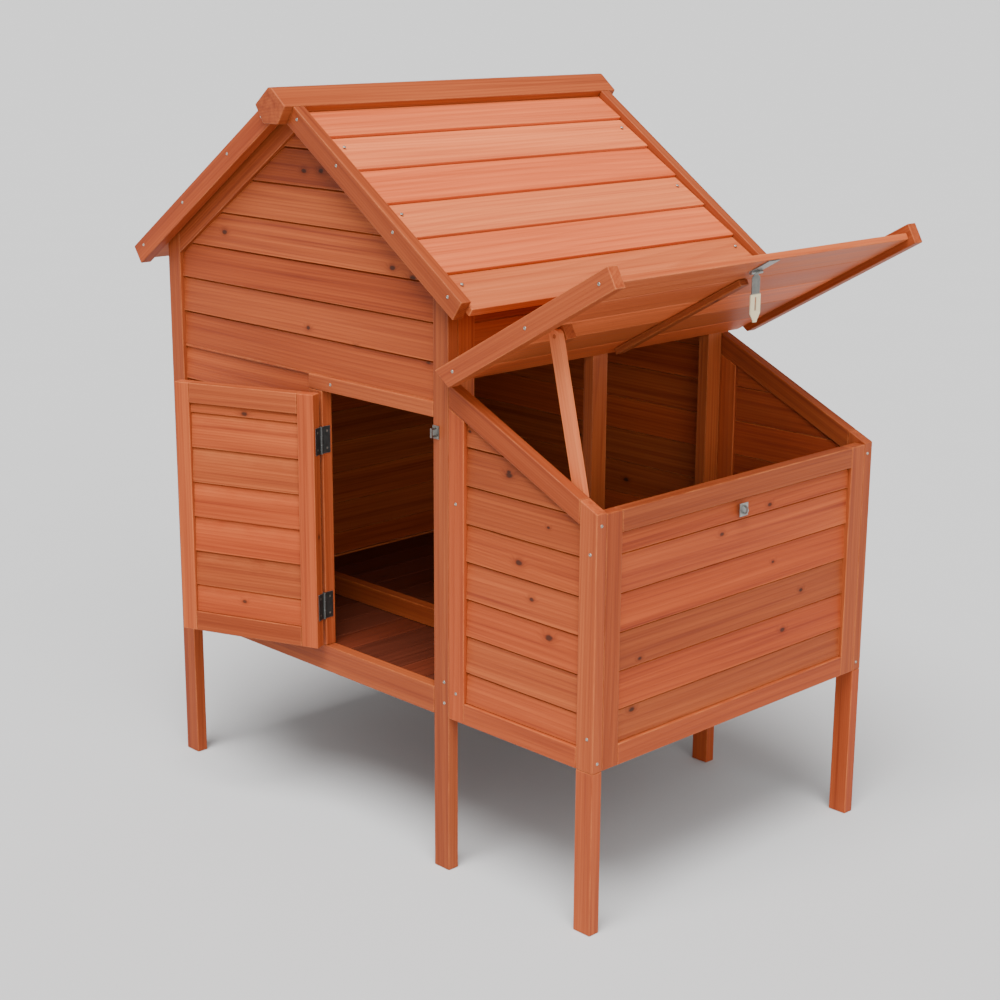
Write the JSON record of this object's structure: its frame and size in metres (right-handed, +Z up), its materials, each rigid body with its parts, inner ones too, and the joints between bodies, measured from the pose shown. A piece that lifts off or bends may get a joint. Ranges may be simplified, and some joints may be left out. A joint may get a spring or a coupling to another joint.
{
  "type": "hen house with nest box",
  "caption": "Small wooden hen house on legs with a pitched roof, a hinged door with a slide bolt, and a side nest box under a propped, hinged lid.",
  "frame": {"origin": "ground level under the middle of the whole object's box, with the door and the lid open as stored", "axes": "+Z up, the door wall faces -Y, the nest box is on the +X side"},
  "size_m": [1.1154, 0.8148, 1.193],
  "materials": {
    "frame_wood": "stained fir, satin",
    "board_wood": "stained fir, satin",
    "roof_wood": "stained fir, weathered lighter",
    "floor_wood": "stained fir, matt",
    "pale_wood": "thinly stained fir",
    "hinge_steel": "dull zinc plate",
    "bright_steel": "bright zinc plate"
  },
  "bodies": {
    "house": {"front_bottom_rail": "frame_wood", "back_bottom_rail": "frame_wood", "left_bottom_rail": "frame_wood", "right_bottom_rail": "frame_wood", "front_door_frame": "frame_wood", "front_rafters": "frame_wood", "back_rafters": "frame_wood", "right_stile_front": "frame_wood", "right_stile_back": "frame_wood", "right_middle_post": "frame_wood", "roost_bar": "frame_wood", "nest_post_front": "frame_wood", "nest_post_back": "frame_wood", "nest_side_front_frame": "frame_wood", "nest_side_back_frame": "frame_wood", "nest_outer_frame": "frame_wood", "post_front_left": "frame_wood", "post_front_right": "frame_wood", "post_back_left": "frame_wood", "post_back_right": "frame_wood", "front_wall_boards": "board_wood", "front_gable_boards": "board_wood", "back_wall_boards": "board_wood", "left_wall_boards": "board_wood", "right_eave_boards": "board_wood", "nest_side_front_boards": "board_wood", "nest_side_back_boards": "board_wood", "nest_outer_boards": "board_wood", "ridge_cap": "roof_wood", "roof_left_boards": "roof_wood", "roof_left_verge_front": "roof_wood", "roof_left_verge_back": "roof_wood", "roof_right_boards": "roof_wood", "roof_right_verge_front": "roof_wood", "roof_right_verge_back": "roof_wood", "house_floor": "floor_wood", "nest_floor": "floor_wood", "door_hinge_top_fixed": "hinge_steel", "door_hinge_bottom_fixed": "hinge_steel", "lid_hinge_front_fixed": "hinge_steel", "lid_hinge_back_fixed": "hinge_steel", "hasp_staple": "hinge_steel", "latch_keeper": "bright_steel"},
    "lid": {"lid_boards": "roof_wood", "lid_batten_front": "roof_wood", "lid_batten_back": "roof_wood", "lid_batten_middle": "roof_wood", "lid_hinge_front_moving": "hinge_steel", "lid_hinge_back_moving": "hinge_steel", "hasp_leaf": "hinge_steel", "prop_pivot": "frame_wood"},
    "hasp_strap": {"hasp_strap": "bright_steel"},
    "prop": {"prop_stick": "pale_wood"},
    "door": {"door_stile_hinge": "frame_wood", "door_stile_latch": "frame_wood", "door_boards": "board_wood", "door_hinge_top_moving": "hinge_steel", "door_hinge_bottom_moving": "hinge_steel", "bolt_base": "hinge_steel"},
    "bolt": {"bolt_rod": "bright_steel"}
  },
  "joints": [
    {"name": "door_hinge", "type": "hinge", "parent": "house", "child": "door", "pos_m": [-0.08952, -0.28961, 0.5065], "axis": [0, 0, 1], "range_deg": [-20, 158]},
    {"name": "bolt_slide", "type": "slide", "parent": "door", "child": "bolt", "axis": [-0.9272, -0.3746, 0], "range_m": [0, 0.02]},
    {"name": "lid_hinge", "type": "hinge", "parent": "house", "child": "lid", "pos_m": [0.20648, 0.03739, 0.792], "axis": [0, 1, 0], "range_deg": [-28, 54]},
    {"name": "strap_pin", "type": "hinge", "parent": "lid", "child": "hasp_strap", "pos_m": [0.51219, 0.03539, 0.94602], "axis": [0, 1, 0], "range_deg": [-54.5, 28.5]},
    {"name": "prop_pivot", "type": "hinge", "parent": "lid", "child": "prop", "pos_m": [0.3981, -0.26061, 0.87343], "axis": [0, 1, 0], "range_deg": [-40, 4]}
  ],
  "couplings": [
    {"joint": "strap_pin", "follows": "lid_hinge", "ratio": -1}
  ]
}
